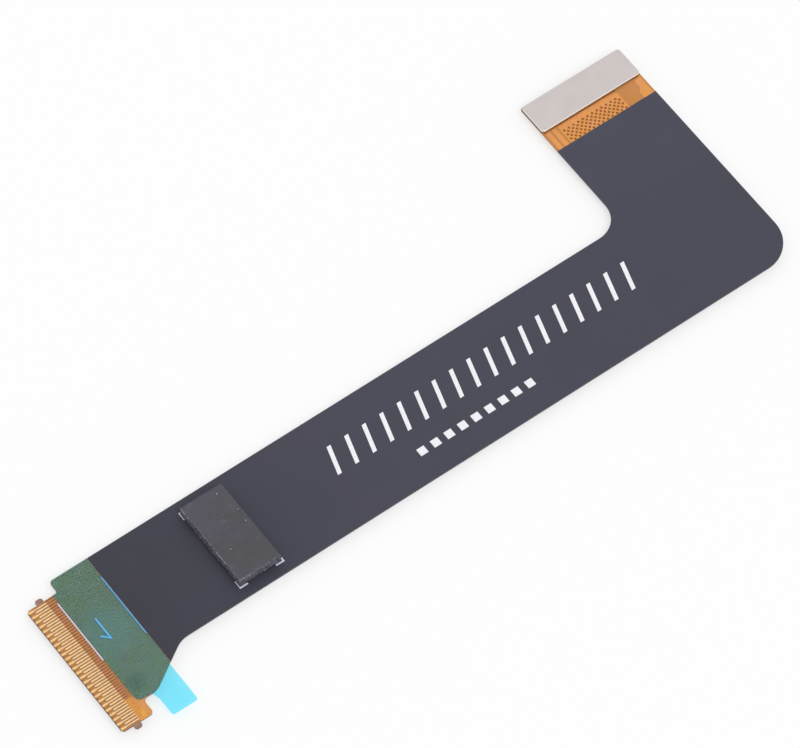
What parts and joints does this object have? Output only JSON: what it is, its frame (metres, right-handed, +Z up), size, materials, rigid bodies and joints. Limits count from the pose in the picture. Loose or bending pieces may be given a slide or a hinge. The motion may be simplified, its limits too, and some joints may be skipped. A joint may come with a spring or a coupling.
{
  "type": "flat flex cable",
  "caption": "L-shaped flat flex cable with a staggered gold contact tail, shielded strip, foam pad and a board plug under a steel plate.",
  "frame": {"origin": "middle of the contact tail's front edge, on the contact face", "axes": "+X along the strip away from the tail's front edge, +Y towards the arm's end, +Z up from the contact face, away from the plug"},
  "size_m": [0.0824, 0.0348, 0.0021],
  "materials": {
    "polyimide": "clear amber polyimide film, glossy",
    "gold_plated_copper": "copper plated with soft gold, satin",
    "copper": "etched copper foil, satin",
    "shield_film": "black conductive shield film, satin",
    "stiffener_film": "brown polyimide stiffener, satin",
    "bond_film": "bonding film, matt",
    "stainless_steel": "rolled stainless sheet, smooth",
    "housing_plastic": "moulded liquid crystal polymer, matt",
    "foam_fabric": "black conductive foam, matt, finely open",
    "white_ink": "screen printed white ink, matt",
    "blue_film": "translucent blue protective film, glossy"
  },
  "bodies": {
    "root": {"base_film": "polyimide", "contact_conductors": "gold_plated_copper", "ground_mesh": "copper", "supply_bars": "copper", "plug_tracks": "gold_plated_copper", "upper_coverlay": "polyimide", "lower_coverlay": "polyimide", "upper_shield_film": "shield_film", "lower_shield_film": "shield_film", "tail_stiffener": "stiffener_film", "steel_bond_film": "bond_film", "steel_stiffener": "stainless_steel", "plug_housing": "housing_plastic", "plug_contacts": "gold_plated_copper", "plug_clips": "gold_plated_copper", "pad_tape": "bond_film", "foam_pad": "foam_fabric", "guide_lines": "white_ink", "side_arrow": "white_ink", "pad_corner_marks": "white_ink", "printed_strokes": "white_ink", "printed_blocks": "white_ink", "release_film": "blue_film"}
  },
  "joints": []
}
